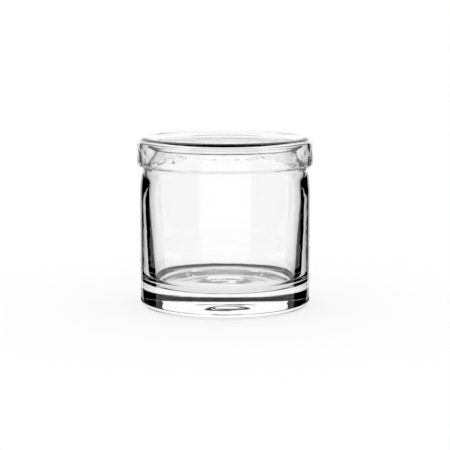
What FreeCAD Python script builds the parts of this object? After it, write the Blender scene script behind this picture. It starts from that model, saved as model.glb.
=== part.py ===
"""Clear glass storage jar with a loose glass cap.

The jar is a straight-walled pot of heavy glass. Its base is thick and slightly
hollowed underneath, its wall thins towards the top, and above a soft waist the
shoulder leans in to a rounded lip. The cap drops over that shoulder: a flat plate
rests on the lip, and a rolled rim stands up round the plate and comes down
outside the shoulder as a skirt.

Millimetres, +Z up. The origin is the centre of the standing ring.
"""
import FreeCAD, Part
import math
import os

import Sketcher

# alias: (value, what it measures)
SIZES = {
    # jar, outside
    "jar_height": (84.0, "table to the top of the lip"),
    "body_diameter": (90.4, "outside of the straight wall"),
    "ring_width": (4.0, "flat of the standing ring"),
    "hollow_depth": (0.8, "rise of the underside at the centre"),
    "heel_radius": (3.7, "rounding from the standing ring to the wall"),
    "waist_drop": (25.6, "top of the lip down to where the wall starts to draw in"),
    "waist_radius": (77.0, "long curve of the waist"),
    "neck_drop": (10.4, "top of the lip down to where the waist turns into the shoulder"),
    "shoulder_radius": (8.0, "curve of that turn"),
    "shoulder_slope": (33.0, "lean of the shoulder from upright, degrees"),
    # jar, inside
    "jar_wall": (2.7, "glass of the shoulder and the lip"),
    "top_wall": (3.4, "straight outside in to the widest place inside"),
    "bore_radius": (11.0, "inner curve from the shoulder to the wall"),
    "base_thickness": (11.8, "table to the inner floor"),
    "foot_wall": (7.3, "glass at the top of the floor curve"),
    "floor_radius": (6.5, "curve from the wall to the floor"),
    # cap
    "seat_gap": (0.1, "lip to the underside of the plate"),
    "skirt_gap": (0.4, "neck to the inside of the skirt"),
    "cap_wall": (2.7, "glass of the skirt and the rolled rim"),
    "plate_thickness": (2.6, "glass of the flat plate"),
    "rim_height": (1.6, "underside of the plate to the centre of the rolled rim"),
    "rim_radius": (4.3, "outside curve of the rolled rim"),
    "dish_radius": (1.1, "curve from the plate up to the rim"),
    "edge_radius": (1.1, "rounding under the edge of the plate"),
    "skirt_drop": (9.2, "underside of the plate to the foot of the skirt"),
    "toe_radius": (1.9, "outer rounding of the foot of the skirt"),
}

# The inner edge of the standing ring.
RING_RADIUS = "<<Sizes>>.body_diameter / 2 - <<Sizes>>.heel_radius - <<Sizes>>.ring_width"

# The centre of the inner curve below the shoulder.
BORE_CENTRE = "<<Sizes>>.body_diameter / 2 - <<Sizes>>.top_wall - <<Sizes>>.bore_radius"

# The outside of the glass at the end of the waist curve, which the skirt goes round.
NECK_RADIUS = (
    "(<<Sizes>>.body_diameter / 2 - <<Sizes>>.waist_radius"
    " + sqrt(<<Sizes>>.waist_radius ^ 2 - (<<Sizes>>.waist_drop - <<Sizes>>.neck_drop) ^ 2))"
)

ORIGIN = -1          # sketch id of the horizontal axis; its first point is the origin
UPRIGHT_AXIS = -2    # sketch id of the vertical axis
START, END, CENTRE = 1, 2, 3


def size(name):
    """A driving dimension as a number, to lay a sketch out before it is constrained."""
    return SIZES[name][0]


def add_sizes(doc):
    """Write the driving dimensions into the spreadsheet, one row each."""
    sheet = doc.addObject("Spreadsheet::Sheet", "Sizes")
    for row, (alias, (value, meaning)) in enumerate(SIZES.items(), start=1):
        sheet.set("A%d" % row, alias)
        sheet.set("B%d" % row, str(value))
        sheet.set("C%d" % row, meaning)
        sheet.setAlias("B%d" % row, alias)
    doc.recompute()
    return sheet


class Section:
    """A closed half-section in the XZ plane, drawn edge by edge round the glass."""

    def __init__(self, body, name):
        planes = body.Origin.OriginFeatures
        plane = next(item for item in planes if item.Role == "XZ_Plane")
        self.sketch = body.newObject("Sketcher::SketchObject", name)
        self.sketch.AttachmentSupport = [(plane, "")]
        self.sketch.MapMode = "FlatFace"
        self.ends = []

    def line(self, start, end):
        """Add a straight edge and return its id."""
        edge = Part.LineSegment(FreeCAD.Vector(*start, 0), FreeCAD.Vector(*end, 0))
        self.ends.append((START, END))
        return self.sketch.addGeometry(edge, False)

    def arc(self, centre, radius, first, last):
        """Add an arc drawn from angle first to angle last, in degrees."""
        circle = Part.Circle(FreeCAD.Vector(*centre, 0), FreeCAD.Vector(0, 0, 1), radius)
        low, high = sorted((math.radians(first), math.radians(last)))
        self.ends.append((START, END) if last > first else (END, START))
        return self.sketch.addGeometry(Part.ArcOfCircle(circle, low, high), False)

    def join(self, corners):
        """Close the outline: smooth joints everywhere but at the listed corners."""
        count = len(self.ends)
        for edge in range(count):
            after = (edge + 1) % count
            kind = "Coincident" if (edge, after) in corners else "Tangent"
            points = (edge, self.ends[edge][1], after, self.ends[after][0])
            self.sketch.addConstraint(Sketcher.Constraint(kind, *points))

    def hold(self, kind, *items):
        """Add a constraint that carries no size."""
        self.sketch.addConstraint(Sketcher.Constraint(kind, *items))

    def drive(self, name, formula, kind, *items):
        """Add a named dimension and bind it to a formula of the spreadsheet."""
        value = self.sketch.evalExpression(formula)
        if kind == "Angle":
            value = math.radians(value.Value)
        index = self.sketch.addConstraint(Sketcher.Constraint(kind, *items, value))
        self.sketch.renameConstraint(index, name)
        self.sketch.setExpression("Constraints." + name, formula)

    def width(self, name, formula, edge, point):
        """Drive the distance of a point from the upright axis."""
        self.drive(name, formula, "DistanceX", ORIGIN, START, edge, point)

    def height(self, name, formula, edge, point):
        """Drive the height of a point above the section's origin."""
        self.drive(name, formula, "DistanceY", ORIGIN, START, edge, point)

    def radius(self, name, formula, edge):
        """Drive the radius of an arc."""
        self.drive(name, formula, "Radius", edge)

    def spin(self, body, name):
        """Turn the section once round the upright axis."""
        solid = body.newObject("PartDesign::Revolution", name)
        solid.Profile = self.sketch
        solid.ReferenceAxis = (self.sketch, ["V_Axis"])
        solid.Angle = 360
        self.sketch.Visibility = False
        return solid


def polar(centre, radius, degrees):
    """The point of a circle at an angle."""
    angle = math.radians(degrees)
    return (centre[0] + radius * math.cos(angle), centre[1] + radius * math.sin(angle))


def add_jar(doc):
    """The pot: heavy base, tapering wall, waist, shoulder and lip in one section."""
    jar = doc.addObject("PartDesign::Body", "jar")
    jar.Label = "jar"
    outside = size("body_diameter") / 2
    wall = size("jar_wall")
    heel = size("heel_radius")
    ring = outside - heel - size("ring_width")
    hollow = size("hollow_depth")
    hollow_radius = (ring ** 2 + hollow ** 2) / (2 * hollow)
    hollow_angle = math.degrees(math.asin(ring / hollow_radius))
    slope = size("shoulder_slope")
    waist_height = size("jar_height") - size("waist_drop")
    lean = math.degrees(math.asin((size("waist_drop") - size("neck_drop")) / size("waist_radius")))

    waist = (outside - size("waist_radius"), waist_height)
    neck = polar(waist, size("waist_radius"), lean)
    turn = polar(neck, size("shoulder_radius"), lean + 180)
    turn_end = polar(turn, size("shoulder_radius"), slope)
    lip_height = size("jar_height") - wall / 2
    climb = lip_height + wall / 2 * math.sin(math.radians(slope)) - turn_end[1]
    lip_foot = (turn_end[0] - climb * math.tan(math.radians(slope)), turn_end[1] + climb)
    lip = polar(lip_foot, wall / 2, slope + 180)

    floor = size("base_thickness")
    corner = (outside - size("foot_wall") - size("floor_radius"), floor + size("floor_radius"))
    bore_radius = size("bore_radius")
    bore = (outside - size("top_wall") - bore_radius, turn[1])
    taper = math.degrees(math.atan2(bore[0] + bore_radius - outside + size("foot_wall"), bore[1] - corner[1]))

    section = Section(jar, "jar_section")
    under = section.arc((0, hollow - hollow_radius), hollow_radius, 90, 90 - hollow_angle)
    stand = section.line((ring, 0), (outside - heel, 0))
    heel_arc = section.arc((outside - heel, heel), heel, -90, 0)
    side = section.line((outside, heel), (outside, waist_height))
    waist_arc = section.arc(waist, size("waist_radius"), 0, lean)
    turn_arc = section.arc(turn, size("shoulder_radius"), lean, slope)
    shoulder = section.line(turn_end, lip_foot)
    lip_arc = section.arc(lip, wall / 2, slope, slope + 180)
    inner_shoulder = section.line(polar(lip, wall / 2, slope + 180), polar(bore, bore_radius, slope))
    bore_arc = section.arc(bore, bore_radius, slope, -taper)
    section.line(polar(bore, bore_radius, -taper), polar(corner, size("floor_radius"), -taper))
    floor_arc = section.arc(corner, size("floor_radius"), -taper, -90)
    floor_line = section.line((corner[0], floor), (0, floor))
    axis = section.line((0, floor), (0, hollow))
    section.join({(under, stand), (floor_line, axis), (axis, under)})

    section.hold("PointOnObject", under, END, UPRIGHT_AXIS)
    section.hold("PointOnObject", under, CENTRE, UPRIGHT_AXIS)
    section.hold("PointOnObject", floor_line, END, UPRIGHT_AXIS)
    section.hold("PointOnObject", stand, START, ORIGIN)
    section.hold("Horizontal", stand)
    section.hold("Horizontal", floor_line)
    section.hold("Vertical", side)
    section.hold("Parallel", shoulder, inner_shoulder)

    section.height("hollow", "<<Sizes>>.hollow_depth", under, END)
    section.width("ring", RING_RADIUS, stand, START)
    section.radius("heel", "<<Sizes>>.heel_radius", heel_arc)
    section.width("body", "<<Sizes>>.body_diameter / 2", side, START)
    section.height("waist_start", "<<Sizes>>.jar_height - <<Sizes>>.waist_drop", side, END)
    section.radius("waist", "<<Sizes>>.waist_radius", waist_arc)
    section.height("neck", "<<Sizes>>.jar_height - <<Sizes>>.neck_drop", waist_arc, END)
    section.radius("turn", "<<Sizes>>.shoulder_radius", turn_arc)
    section.drive("slope", "<<Sizes>>.shoulder_slope * 1deg", "Angle", UPRIGHT_AXIS, START, shoulder, START)
    section.radius("lip", "<<Sizes>>.jar_wall / 2", lip_arc)
    section.height("lip_centre", "<<Sizes>>.jar_height - <<Sizes>>.jar_wall / 2", lip_arc, CENTRE)
    section.radius("bore", "<<Sizes>>.bore_radius", bore_arc)
    section.width("bore_centre", BORE_CENTRE, bore_arc, CENTRE)
    section.height("floor", "<<Sizes>>.base_thickness", floor_line, END)
    section.radius("floor_curve", "<<Sizes>>.floor_radius", floor_arc)
    section.width("floor_edge", "<<Sizes>>.body_diameter / 2 - <<Sizes>>.foot_wall", floor_arc, END)
    section.spin(jar, "jar_glass")
    return jar


def add_cap(doc):
    """The cap: plate, rolled rim and skirt as one sheet of glass round an open channel."""
    cap = doc.addObject("PartDesign::Body", "cap")
    cap.Label = "cap"
    cap.setExpression("Placement.Base.z", "<<Sizes>>.jar_height + <<Sizes>>.seat_gap")
    section = Section(cap, "cap_section")
    wall = size("cap_wall")
    bore = section.sketch.evalExpression(NECK_RADIUS) + size("skirt_gap")
    rim_radius = size("rim_radius")
    channel = rim_radius - wall
    rim = (bore - channel, size("rim_height"))
    foot = size("toe_radius")
    foot_height = -size("skirt_drop")
    plate = size("plate_thickness")
    dish = size("dish_radius")
    edge = size("edge_radius")
    dish_height = plate + dish
    dish_lean = math.degrees(math.asin((dish_height - rim[1]) / (rim_radius + dish)))
    dish_centre = polar(rim, rim_radius + dish, 180 - dish_lean)

    top = section.line((0, plate), (dish_centre[0], plate))
    dish_arc = section.arc(dish_centre, dish, -90, -dish_lean)
    rim_arc = section.arc(rim, rim_radius, 180 - dish_lean, 0)
    skirt = section.line((bore + wall, rim[1]), (bore + wall, foot_height + foot))
    foot_arc = section.arc((bore + wall - foot, foot_height + foot), foot, 0, -90)
    toe = wall - foot
    toe_arc = section.arc((bore + toe, foot_height + toe), toe, -90, -180)
    inner_skirt = section.line((bore, foot_height + toe), (bore, rim[1]))
    channel_arc = section.arc(rim, channel, 0, 180)
    inner_side = section.line((rim[0] - channel, rim[1]), (rim[0] - channel, edge))
    edge_arc = section.arc((rim[0] - channel - edge, edge), edge, 0, -90)
    underside = section.line((rim[0] - channel - edge, 0), (0, 0))
    axis = section.line((0, 0), (0, plate))
    section.join({(underside, axis), (axis, top)})

    section.hold("PointOnObject", top, START, UPRIGHT_AXIS)
    section.hold("Coincident", axis, START, ORIGIN, START)
    section.hold("Horizontal", top)
    section.hold("Horizontal", underside)
    section.hold("Vertical", skirt)
    section.hold("Vertical", inner_skirt)
    section.hold("Vertical", inner_side)
    section.hold("Coincident", channel_arc, CENTRE, rim_arc, CENTRE)
    section.hold("Vertical", foot_arc, CENTRE, toe_arc, CENTRE)
    section.height("plate", "<<Sizes>>.plate_thickness", top, START)
    section.radius("dish", "<<Sizes>>.dish_radius", dish_arc)
    section.radius("rim", "<<Sizes>>.rim_radius", rim_arc)
    section.height("rim_centre", "<<Sizes>>.rim_height", rim_arc, CENTRE)
    section.radius("channel", "<<Sizes>>.rim_radius - <<Sizes>>.cap_wall", channel_arc)
    section.width("bore", NECK_RADIUS + " + <<Sizes>>.skirt_gap", inner_skirt, START)
    section.radius("foot", "<<Sizes>>.toe_radius", foot_arc)
    section.drive("drop", "<<Sizes>>.skirt_drop", "DistanceY", toe_arc, END, ORIGIN, START)
    section.radius("edge", "<<Sizes>>.edge_radius", edge_arc)
    section.spin(cap, "cap_glass")
    return cap


def check(doc, bodies):
    """Stop unless every object is computed and every piece is one sound solid."""
    for item in doc.Objects:
        if {"Invalid", "Error"} & set(item.State):
            raise RuntimeError("%s failed: %s" % (item.Name, item.State))
    for body in bodies:
        shape = body.Shape
        if shape.isNull() or not shape.isValid() or len(shape.Solids) != 1:
            raise RuntimeError("%s is not one valid solid" % body.Label)


def export(bodies):
    """Write one STEP file for each piece, named after it."""
    os.makedirs("parts", exist_ok=True)
    for body in bodies:
        body.Shape.exportStep("parts/%s.step" % body.Label)
        box = body.Shape.optimalBoundingBox(False)
        facts = (body.Label, body.Shape.Volume / 1000, box.XLength, box.ZMin, box.ZMax)
        print("%s: %.1f cm3, %.2f mm across, from %.2f to %.2f mm" % facts)


def main():
    doc = FreeCAD.newDocument("glass_jar")
    add_sizes(doc)
    bodies = [add_jar(doc), add_cap(doc)]
    doc.recompute()
    check(doc, bodies)
    export(bodies)


main()
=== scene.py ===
"""Clear glass storage jar with its loose glass cap, on plain white paper.

Both pieces are turned shapes, so each is a section spun round the upright axis. The
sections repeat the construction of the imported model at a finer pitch, and a little
unevenness is worked into them, because such glass is blown and finished by hand.
"""
import math

import bmesh
import bpy
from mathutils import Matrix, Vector, noise


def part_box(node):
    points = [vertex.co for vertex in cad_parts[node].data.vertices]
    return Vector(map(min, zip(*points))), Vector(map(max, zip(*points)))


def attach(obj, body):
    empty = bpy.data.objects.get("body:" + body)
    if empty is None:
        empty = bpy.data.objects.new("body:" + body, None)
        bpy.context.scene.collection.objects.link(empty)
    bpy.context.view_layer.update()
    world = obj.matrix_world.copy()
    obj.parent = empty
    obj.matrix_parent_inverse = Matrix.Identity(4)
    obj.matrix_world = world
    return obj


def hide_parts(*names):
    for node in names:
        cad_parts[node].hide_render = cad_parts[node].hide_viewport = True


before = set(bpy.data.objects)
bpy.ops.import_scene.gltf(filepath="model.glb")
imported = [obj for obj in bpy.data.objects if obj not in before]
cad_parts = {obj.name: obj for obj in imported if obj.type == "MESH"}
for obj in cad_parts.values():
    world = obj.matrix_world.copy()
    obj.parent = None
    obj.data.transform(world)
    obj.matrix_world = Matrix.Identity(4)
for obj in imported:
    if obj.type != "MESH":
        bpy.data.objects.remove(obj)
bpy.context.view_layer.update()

MM = 0.001
TINY = 1e-7

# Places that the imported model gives
JAR_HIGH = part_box("jar")[1]
CAP_LOW, CAP_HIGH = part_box("cap")
BODY_RADIUS = JAR_HIGH.x
JAR_HEIGHT = JAR_HIGH.z
CREST = CAP_HIGH.z
CAP_FOOT = CAP_LOW.z

# Jar section, as in the construction
RING_WIDTH = 4.0 * MM
HOLLOW_DEPTH = 0.8 * MM
HEEL_RADIUS = 3.7 * MM
WAIST_DROP = 25.6 * MM
WAIST_RADIUS = 77.0 * MM
NECK_DROP = 10.4 * MM
SHOULDER_RADIUS = 8.0 * MM
SHOULDER_SLOPE = math.radians(33.0)
JAR_WALL = 2.7 * MM
BASE_THICKNESS = 11.8 * MM
TOP_WALL = 3.4 * MM
BORE_TURN_RADIUS = 11.0 * MM
FOOT_WALL = 7.3 * MM
FLOOR_RADIUS = 6.5 * MM

# Cap section, as in the construction
SEAT_GAP = 0.1 * MM
CAP_WALL = 2.7 * MM
PLATE_THICKNESS = 2.6 * MM
RIM_HEIGHT = 1.6 * MM
RIM_RADIUS = 4.3 * MM
DISH_RADIUS = 1.1 * MM
EDGE_RADIUS = 1.1 * MM
TOE_RADIUS = 1.9 * MM

# Unevenness of hand-finished glass: how far each surface wanders, over what length,
# and a seed that makes each piece of noise different
WALL_WAVE = 0.03 * MM
WAVE_PITCH = 26.0 * MM
JAR_WAVE_SEED = 1.7
CAP_WAVE_SEED = 3.9
LIP_WAVE = 0.06 * MM
LIP_PITCH = 5.0 * MM
LIP_SEED = 5.3
SKIRT_WAVE = 0.16 * MM
SKIRT_PITCH = 3.4 * MM
SKIRT_SEED = 7.7

# The dimple under the middle of the base
MARK_TOP = HOLLOW_DEPTH * 1.01
MARK_RADIUS = 16.0 * MM
MARK_DEPTH = 1.3 * MM
MARK_ROUGH = 0.4
MARK_PITCH = 8.0 * MM
MARK_SEED = 9.1

# The glass itself, and the faint ripple of its skin
GLASS_IOR = 1.5
RIPPLE_PITCH = 6.0 * MM
RIPPLE_HEIGHT = 0.02 * MM

# Fineness of the spun meshes
TURNS = 288
ARC_STEP = math.radians(6.0)
LINE_STEP = 1.2 * MM

# Dark ceiling: the upward share of a direction where it starts, and how soft its edge is
CEILING = math.sin(math.radians(62))
CEILING_EDGE = 0.01
CEILING_LIGHT = 0.0

# White paper floor: PAPER of its light is reflected, and the rest is its own
FLOOR_SIZE = 6.0
FLOOR_GAP = 0.2 * MM
PAPER = 0.3

# Painted shadow on the floor, a dark crescent close behind the foot: its soft inner and outer edge, and
# where it fades out in front
SHADE_INNER = (44.0 * MM, 50.0 * MM)
SHADE_OUTER = (54.0 * MM, 58.0 * MM)
SHADE_FRONT = (-20.0 * MM, 10.0 * MM)

# Black cards: distance from the axis beside the jar, turn away from straight back,
# reach along the card forwards and backwards, and height at both ends
CARD_START = 54.0 * MM
CARD_TURN = math.radians(25)
CARD_NEAR = -28.0 * MM
CARD_FAR = 700.0 * MM
CARD_NEAR_TOP = 180.0 * MM
CARD_FAR_TOP = 60.0 * MM

# Camera: how far back and up it stands, in heights of the whole, and how far it tilts down
CAMERA_BACK = 9.3208333 * CREST
CAMERA_UP = 1.7779762 * CREST
CAMERA_TILT = math.radians(7.96)
LENS_MM = 126.8
SENSOR_MM = 36.0
VIEW_LIMIT = 100.0


def add_object(name, data):
    """A new object in the scene, at the origin."""
    made = bpy.data.objects.new(name, data)
    bpy.context.scene.collection.objects.link(made)
    return made


# ---------------------------------------------------------------- sections

def polar(centre, radius, angle):
    """The point at an angle on a circle."""
    return (centre[0] + radius * math.cos(angle), centre[1] + radius * math.sin(angle))


def arc(centre, radius, first, last):
    """Points of an arc from angle first to angle last, both ends included."""
    turn = abs(last - first)
    count = max(3, math.ceil(turn / ARC_STEP), math.ceil(radius * turn / LINE_STEP))
    return [polar(centre, radius, first + (last - first) * i / count) for i in range(count + 1)]


def outline(*stretches):
    """Join arcs and loose points into one outline, with straight runs divided evenly."""
    corners = []
    for stretch in stretches:
        corners.extend(stretch if isinstance(stretch, list) else [stretch])
    points = [corners[0]]
    for corner in corners[1:]:
        last = points[-1]
        length = math.dist(last, corner)
        if length < TINY:
            continue
        count = math.ceil(length / LINE_STEP)
        for i in range(1, count + 1):
            share = i / count
            across = last[0] + (corner[0] - last[0]) * share
            up = last[1] + (corner[1] - last[1]) * share
            points.append((across, up))
    return points


def jar_neck():
    """Where the waist leans, and the centres of the shoulder curve and of the rounded lip."""
    waist = (BODY_RADIUS - WAIST_RADIUS, JAR_HEIGHT - WAIST_DROP)
    lean = math.asin((WAIST_DROP - NECK_DROP) / WAIST_RADIUS)
    turn = polar(polar(waist, WAIST_RADIUS, lean), SHOULDER_RADIUS, lean + math.pi)
    turn_end = polar(turn, SHOULDER_RADIUS, SHOULDER_SLOPE)
    climb = JAR_HEIGHT - JAR_WALL / 2 * (1 - math.sin(SHOULDER_SLOPE)) - turn_end[1]
    lip_foot = (turn_end[0] - climb * math.tan(SHOULDER_SLOPE), turn_end[1] + climb)
    lip = polar(lip_foot, JAR_WALL / 2, SHOULDER_SLOPE + math.pi)
    return waist, lean, turn, lip


def jar_bore(turn):
    """Centres of the two inner curves, and the taper of the straight wall between them."""
    bore_x = BODY_RADIUS - TOP_WALL - BORE_TURN_RADIUS
    across = (turn[0] - bore_x) * math.cos(SHOULDER_SLOPE) + SHOULDER_RADIUS - JAR_WALL - BORE_TURN_RADIUS
    bore = (bore_x, turn[1] + across / math.sin(SHOULDER_SLOPE))
    corner = (BODY_RADIUS - FOOT_WALL - FLOOR_RADIUS, BASE_THICKNESS + FLOOR_RADIUS)
    between = math.asin((BORE_TURN_RADIUS - FLOOR_RADIUS) / math.dist(bore, corner))
    taper = between + math.atan2(bore[0] - corner[0], bore[1] - corner[1])
    return bore, corner, taper


def jar_section():
    """From the middle of the underside, up the outside, over the lip and down to the inner floor."""
    ring = BODY_RADIUS - HEEL_RADIUS - RING_WIDTH
    hollow_radius = (ring ** 2 + HOLLOW_DEPTH ** 2) / (2 * HOLLOW_DEPTH)
    hollow_angle = math.asin(ring / hollow_radius)
    waist, lean, turn, lip = jar_neck()
    bore, corner, taper = jar_bore(turn)
    return outline(
        arc((0, HOLLOW_DEPTH - hollow_radius), hollow_radius, math.pi / 2, math.pi / 2 - hollow_angle),
        arc((BODY_RADIUS - HEEL_RADIUS, HEEL_RADIUS), HEEL_RADIUS, -math.pi / 2, 0),
        arc(waist, WAIST_RADIUS, 0, lean),
        arc(turn, SHOULDER_RADIUS, lean, SHOULDER_SLOPE),
        arc(lip, JAR_WALL / 2, SHOULDER_SLOPE, SHOULDER_SLOPE + math.pi),
        arc(bore, BORE_TURN_RADIUS, SHOULDER_SLOPE, -taper),
        arc(corner, FLOOR_RADIUS, -taper, -math.pi / 2),
        (0, BASE_THICKNESS),
    )


def cap_section():
    """From the middle of the plate, over the rolled rim, down the skirt and back along the underside."""
    seat = JAR_HEIGHT + SEAT_GAP
    radius = CAP_HIGH.x
    bore = radius - CAP_WALL
    channel = RIM_RADIUS - CAP_WALL
    rim = (bore - channel, seat + RIM_HEIGHT)
    dish_rise = PLATE_THICKNESS + DISH_RADIUS - RIM_HEIGHT
    lean = math.asin(dish_rise / (RIM_RADIUS + DISH_RADIUS))
    dish = polar(rim, RIM_RADIUS + DISH_RADIUS, math.pi - lean)
    toe = CAP_WALL - TOE_RADIUS
    side = rim[0] - channel
    return outline(
        (0, seat + PLATE_THICKNESS),
        arc(dish, DISH_RADIUS, -math.pi / 2, -lean),
        arc(rim, RIM_RADIUS, math.pi - lean, 0),
        arc((radius - TOE_RADIUS, CAP_FOOT + TOE_RADIUS), TOE_RADIUS, 0, -math.pi / 2),
        arc((bore + toe, CAP_FOOT + toe), toe, -math.pi / 2, -math.pi),
        arc(rim, channel, 0, math.pi),
        arc((side - EDGE_RADIUS, seat + EDGE_RADIUS), EDGE_RADIUS, 0, -math.pi / 2),
        (0, seat),
    )


# ---------------------------------------------------------------- spinning

def add_rings(mesh, section, uneven):
    """One ring of points for each point of the section, or a single point on the axis."""
    rings = []
    for radius, height in section:
        if radius < TINY:
            rings.append([mesh.verts.new((0, 0, height))])
            continue
        angles = [2 * math.pi * i / TURNS for i in range(TURNS)]
        rings.append([mesh.verts.new(uneven(radius, height, angle)) for angle in angles])
    return rings


def add_band(mesh, low, high):
    """Faces between two neighbouring rings, or between a ring and the point on the axis."""
    for i in range(TURNS):
        j = (i + 1) % TURNS
        if len(low) == 1:
            mesh.faces.new((low[0], high[j], high[i]))
        elif len(high) == 1:
            mesh.faces.new((low[i], low[j], high[0]))
        else:
            mesh.faces.new((low[i], low[j], high[j], high[i]))


def spin(name, section, uneven):
    """A closed mesh from a section spun round the upright axis; uneven moves each point a little."""
    mesh = bmesh.new()
    rings = add_rings(mesh, section, uneven)
    for low, high in zip(rings, rings[1:]):
        add_band(mesh, low, high)
    if mesh.calc_volume(signed=True) < 0:
        bmesh.ops.reverse_faces(mesh, faces=mesh.faces)
    data = bpy.data.meshes.new(name)
    mesh.to_mesh(data)
    mesh.free()
    data.polygons.foreach_set("use_smooth", [True] * len(data.polygons))
    return add_object(name, data)


# ---------------------------------------------------------------- unevenness

def on_ring(radius, height, angle):
    """The place of a point of the section once it is turned by an angle."""
    return (radius * math.cos(angle), radius * math.sin(angle), height)


def ripple(radius, height, angle, pitch, seed):
    """Smooth noise round the piece, between about -1 and 1, with features about pitch wide."""
    place = Vector(on_ring(radius, height, angle)) / pitch
    return noise.noise(place + Vector((seed, 0, 0)))


def jar_uneven(radius, height, angle):
    """Blown wall with slow waves, a slightly wavy lip, and a soft dimple under the base."""
    wave = WALL_WAVE * ripple(radius, height, angle, WAVE_PITCH, JAR_WAVE_SEED)
    if height > JAR_HEIGHT - NECK_DROP:
        wave += LIP_WAVE * ripple(radius, height, angle, LIP_PITCH, LIP_SEED)
    lift = 0.0
    if height < MARK_TOP and radius < MARK_RADIUS:
        share = (1 - (radius / MARK_RADIUS) ** 2) ** 2
        rough = MARK_ROUGH * ripple(radius, height, angle, MARK_PITCH, MARK_SEED)
        lift = MARK_DEPTH * share * (1 + rough)
    return on_ring(radius + wave, height + lift, angle)


def cap_uneven(radius, height, angle):
    """The skirt is bent down over a mould, which leaves its inside wavy."""
    wave = WALL_WAVE * ripple(radius, height, angle, WAVE_PITCH, CAP_WAVE_SEED)
    skirt_inside = CAP_HIGH.x - CAP_WALL + TOE_RADIUS
    if radius < skirt_inside and height < JAR_HEIGHT:
        wave += SKIRT_WAVE * ripple(radius, height, angle, SKIRT_PITCH, SKIRT_SEED)
    return on_ring(radius + wave, height, angle)


# ---------------------------------------------------------------- materials

def clear_glass(name):
    """Clear smooth glass whose skin is very slightly rippled, as fire-finished glass is."""
    material = bpy.data.materials.new(name)
    material.use_nodes = True
    tree = material.node_tree
    shader = tree.nodes["Principled BSDF"]
    shader.inputs["Base Color"].default_value = (1.0, 1.0, 1.0, 1.0)
    shader.inputs["Roughness"].default_value = 0.0
    shader.inputs["IOR"].default_value = GLASS_IOR
    shader.inputs["Transmission Weight"].default_value = 1.0
    place = tree.nodes.new("ShaderNodeTexCoord")
    ripples = tree.nodes.new("ShaderNodeTexNoise")
    ripples.inputs["Scale"].default_value = 1 / RIPPLE_PITCH
    ripples.inputs["Detail"].default_value = 1.0
    bump = tree.nodes.new("ShaderNodeBump")
    bump.inputs["Distance"].default_value = RIPPLE_HEIGHT
    tree.links.new(place.outputs["Object"], ripples.inputs["Vector"])
    tree.links.new(ripples.outputs["Fac"], bump.inputs["Height"])
    tree.links.new(bump.outputs["Normal"], shader.inputs["Normal"])
    return material


# ---------------------------------------------------------------- stage

class Graph:
    """A few lines of help for small node graphs."""

    def __init__(self, tree):
        self.tree = tree
        tree.nodes.clear()

    def node(self, kind, **settings):
        made = self.tree.nodes.new(kind)
        for key, value in settings.items():
            setattr(made, key, value)
        return made

    def feed(self, socket, value):
        if isinstance(value, bpy.types.NodeSocket):
            self.tree.links.new(value, socket)
        else:
            socket.default_value = value

    def math(self, operation, *values):
        made = self.node("ShaderNodeMath", operation=operation)
        for socket, value in zip(made.inputs, values):
            self.feed(socket, value)
        return made.outputs[0]

    def ramp(self, value, start, stop, low, high):
        """low below start, high above stop, a smooth step between."""
        made = self.node("ShaderNodeMapRange", interpolation_type="SMOOTHSTEP")
        names = ("Value", "From Min", "From Max", "To Min", "To Max")
        for name, item in zip(names, (value, start, stop, low, high)):
            self.feed(made.inputs[name], item)
        return made.outputs["Result"]


def make_world():
    """White all round up to a dark ceiling, which only the glass shows."""
    world = bpy.data.worlds.new("studio")
    bpy.context.scene.world = world
    world.use_nodes = True
    graph = Graph(world.node_tree)
    place = graph.node("ShaderNodeTexCoord")
    parts = graph.node("ShaderNodeSeparateXYZ")
    graph.feed(parts.inputs[0], place.outputs["Generated"])
    edge = (CEILING - CEILING_EDGE, CEILING + CEILING_EDGE)
    seen = graph.ramp(parts.outputs["Z"], *edge, 1.0, CEILING_LIGHT)
    path = graph.node("ShaderNodeLightPath")
    plain = graph.math("MAXIMUM", path.outputs["Is Camera Ray"], path.outputs["Is Diffuse Ray"])
    light = graph.node("ShaderNodeBackground")
    graph.feed(light.inputs["Color"], (1.0, 1.0, 1.0, 1.0))
    graph.feed(light.inputs["Strength"], graph.math("MAXIMUM", seen, plain))
    out = graph.node("ShaderNodeOutputWorld")
    graph.feed(out.inputs[0], light.outputs[0])


def flat_piece(name, corners):
    """One flat face of the stage."""
    data = bpy.data.meshes.new(name)
    data.from_pydata(corners, [], [(0, 1, 2, 3)])
    piece = add_object(name, data)
    material = bpy.data.materials.new(name)
    material.use_nodes = True
    data.materials.append(material)
    return piece, Graph(material.node_tree)


def painted_foot_shadow(graph):
    """1 in the painted shadow, a dark crescent close behind the foot which only the glass shows, and 0
    elsewhere.
    """
    place = graph.node("ShaderNodeNewGeometry")
    parts = graph.node("ShaderNodeSeparateXYZ")
    graph.feed(parts.inputs[0], place.outputs["Position"])
    length = graph.node("ShaderNodeVectorMath", operation="LENGTH")
    graph.feed(length.inputs[0], place.outputs["Position"])
    inner = graph.ramp(length.outputs["Value"], *SHADE_INNER, 0.0, 1.0)
    outer = graph.ramp(length.outputs["Value"], *SHADE_OUTER, 1.0, 0.0)
    behind = graph.ramp(parts.outputs["Y"], *SHADE_FRONT, 0.0, 1.0)
    path = graph.node("ShaderNodeLightPath")
    through = graph.math("MAXIMUM", path.outputs["Is Transmission Ray"], path.outputs["Is Glossy Ray"])
    ring = graph.math("MULTIPLY", inner, outer)
    shown = graph.math("MULTIPLY", behind, through)
    return graph.math("MULTIPLY", ring, shown)


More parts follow.
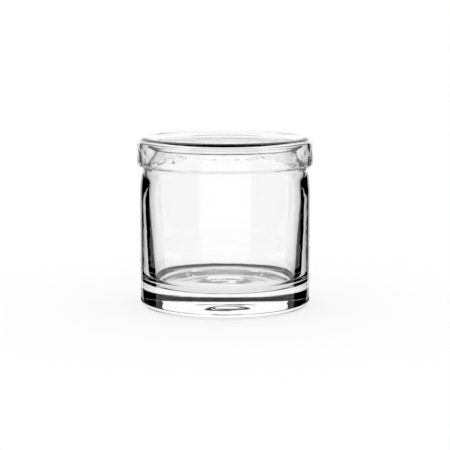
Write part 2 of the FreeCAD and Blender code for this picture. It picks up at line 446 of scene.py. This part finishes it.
def make_floor():
    """White paper: most of its light is its own, so that the jar's shadow on it stays soft. A painted
    shadow, a dark crescent behind the foot, is mixed in where only the glass shows it.
    """
    corners = [(-1, -1), (1, -1), (1, 1), (-1, 1)]
    floor, graph = flat_piece("floor", [(x * FLOOR_SIZE, y * FLOOR_SIZE, 0) for x, y in corners])
    floor.location.z = -FLOOR_GAP
    paper = graph.node("ShaderNodeBsdfDiffuse")
    graph.feed(paper.inputs["Color"], (PAPER, PAPER, PAPER, 1.0))
    glow = graph.node("ShaderNodeEmission")
    graph.feed(glow.inputs["Strength"], 1.0 - PAPER)
    both = graph.node("ShaderNodeAddShader")
    graph.feed(both.inputs[0], paper.outputs[0])
    graph.feed(both.inputs[1], glow.outputs[0])
    shaded = graph.node("ShaderNodeMixShader")
    # painted shadow: the floor turns black in the crescent behind the foot, for rays that pass through or
    # are mirrored in the glass
    graph.feed(shaded.inputs[0], painted_foot_shadow(graph))
    graph.feed(shaded.inputs[1], both.outputs[0])
    out = graph.node("ShaderNodeOutputMaterial")
    graph.feed(out.inputs[0], shaded.outputs[0])


def make_card(name, side):
    """A black card beside and behind the jar, seen only by light that has been mirrored in the glass."""
    def foot(distance):
        return (side * (CARD_START + distance * math.sin(CARD_TURN)), distance * math.cos(CARD_TURN))

    near, far = foot(CARD_NEAR), foot(CARD_FAR)
    card, graph = flat_piece(name, [(*near, 0), (*far, 0), (*far, CARD_FAR_TOP), (*near, CARD_NEAR_TOP)])
    path = graph.node("ShaderNodeLightPath")
    clear = graph.node("ShaderNodeBsdfTransparent")
    black = graph.node("ShaderNodeBsdfDiffuse")
    graph.feed(black.inputs["Color"], (0.0, 0.0, 0.0, 1.0))
    card_or_air = graph.node("ShaderNodeMixShader")
    graph.feed(card_or_air.inputs[0], graph.math("GREATER_THAN", path.outputs["Glossy Depth"], 0.5))
    graph.feed(card_or_air.inputs[1], clear.outputs[0])
    graph.feed(card_or_air.inputs[2], black.outputs[0])
    out = graph.node("ShaderNodeOutputMaterial")
    graph.feed(out.inputs[0], card_or_air.outputs[0])
    card.visible_camera = False
    card.visible_diffuse = False
    card.visible_shadow = False


# ---------------------------------------------------------------- camera

def make_camera():
    """A long lens, a little above the jar, looking slightly down at it."""
    camera = bpy.data.cameras.new("camera")
    camera.sensor_width = SENSOR_MM
    camera.lens = LENS_MM
    camera.clip_end = VIEW_LIMIT
    holder = add_object("camera", camera)
    holder.location = (0, -CAMERA_BACK, CAMERA_UP)
    holder.rotation_euler = (math.pi / 2 - CAMERA_TILT, 0, 0)
    bpy.context.scene.camera = holder


# ---------------------------------------------------------------- the two pieces

def make_piece(node, name, section, uneven):
    """The visible piece that stands for a CAD node."""
    piece = spin(name, section, uneven)
    piece.data.materials.append(clear_glass(name + "_clear"))
    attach(piece, "root")
    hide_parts(node)
    return piece


make_world()
make_floor()
make_card("card_left", -1)
make_card("card_right", 1)
make_camera()
make_piece("jar", "jar_blown", jar_section(), jar_uneven)
make_piece("cap", "cap_blown", cap_section(), cap_uneven)
bpy.context.scene.view_settings.view_transform = "Standard"
